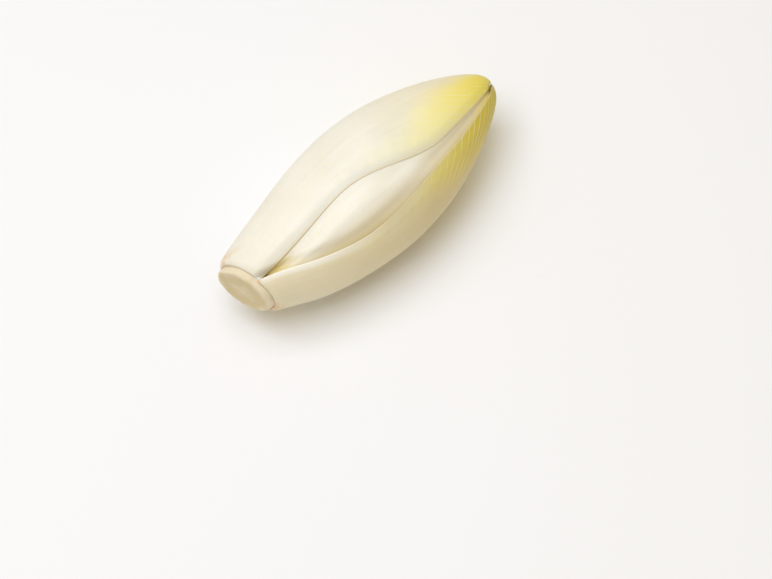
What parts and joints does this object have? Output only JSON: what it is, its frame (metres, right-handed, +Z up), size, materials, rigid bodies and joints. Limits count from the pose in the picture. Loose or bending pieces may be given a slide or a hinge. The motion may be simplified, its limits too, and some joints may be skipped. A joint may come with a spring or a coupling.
{
  "type": "belgian endive",
  "caption": "Whole forced chicory head lying on its side: overlapping ivory leaves that turn yellow towards a closed blunt tip, on a trimmed stump.",
  "frame": {"origin": "middle of the underside, on the surface that the head lies on", "axes": "+X from the cut stump to the leaf tips, +Z up"},
  "size_m": [0.1376, 0.055, 0.0544],
  "materials": {
    "core_flesh": "matte",
    "leaf_01_skin": "satin",
    "leaf_02_skin": "satin",
    "leaf_03_skin": "satin",
    "leaf_04_skin": "satin",
    "leaf_05_skin": "satin",
    "leaf_06_skin": "satin",
    "leaf_07_skin": "satin",
    "leaf_08_skin": "satin",
    "leaf_09_skin": "satin",
    "leaf_10_skin": "satin",
    "leaf_11_skin": "satin",
    "leaf_12_skin": "satin",
    "leaf_13_skin": "satin",
    "leaf_14_skin": "satin",
    "leaf_15_skin": "satin"
  },
  "bodies": {
    "root": {"core": "core_flesh", "leaf_01": "leaf_01_skin", "leaf_02": "leaf_02_skin", "leaf_03": "leaf_03_skin", "leaf_04": "leaf_04_skin", "leaf_05": "leaf_05_skin", "leaf_06": "leaf_06_skin", "leaf_07": "leaf_07_skin", "leaf_08": "leaf_08_skin", "leaf_09": "leaf_09_skin", "leaf_10": "leaf_10_skin", "leaf_11": "leaf_11_skin", "leaf_12": "leaf_12_skin", "leaf_13": "leaf_13_skin", "leaf_14": "leaf_14_skin", "leaf_15": "leaf_15_skin"}
  },
  "joints": []
}
